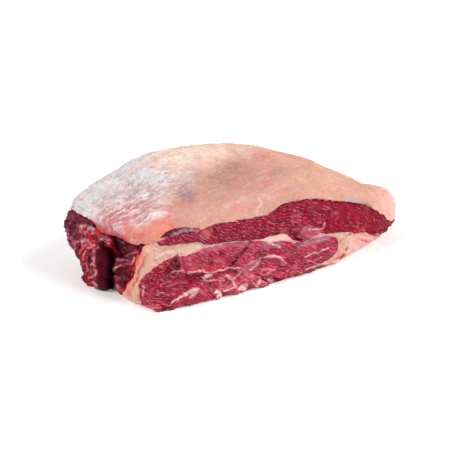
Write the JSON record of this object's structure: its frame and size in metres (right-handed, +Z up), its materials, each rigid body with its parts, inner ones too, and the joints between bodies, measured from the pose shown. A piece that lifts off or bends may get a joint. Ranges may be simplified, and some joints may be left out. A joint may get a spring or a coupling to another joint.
{
  "type": "raw beef rump",
  "caption": "Raw beef rump joint, boned out, with its fat cap on top and the cut lean, seam fat and folded end lean in view.",
  "frame": {"origin": "middle of the base of the joint's bounding box, on the surface it rests on", "axes": "+X along the joint to its narrow nose, +Y from the cut front to the fat-covered back, +Z up"},
  "size_m": [0.4282, 0.2012, 0.1326],
  "materials": {
    "fat_cap": "moist raw fat under a thin skin, pinkish cream with whiter and redder places",
    "upper_muscle": "wet raw lean, deep crimson with a fine slanting grain",
    "seam_fat": "moist raw fat, cream, with blood-stained places at the nose end",
    "lower_muscle": "wet raw lean, pinkish crimson with marbling and pale seams",
    "end_muscle": "wet raw lean, very dark burgundy with silvery membrane"
  },
  "bodies": {
    "root": {"fat_cap": "fat_cap", "upper_muscle": "upper_muscle", "seam_fat": "seam_fat", "lower_muscle": "lower_muscle", "end_muscle": "end_muscle"}
  },
  "joints": []
}
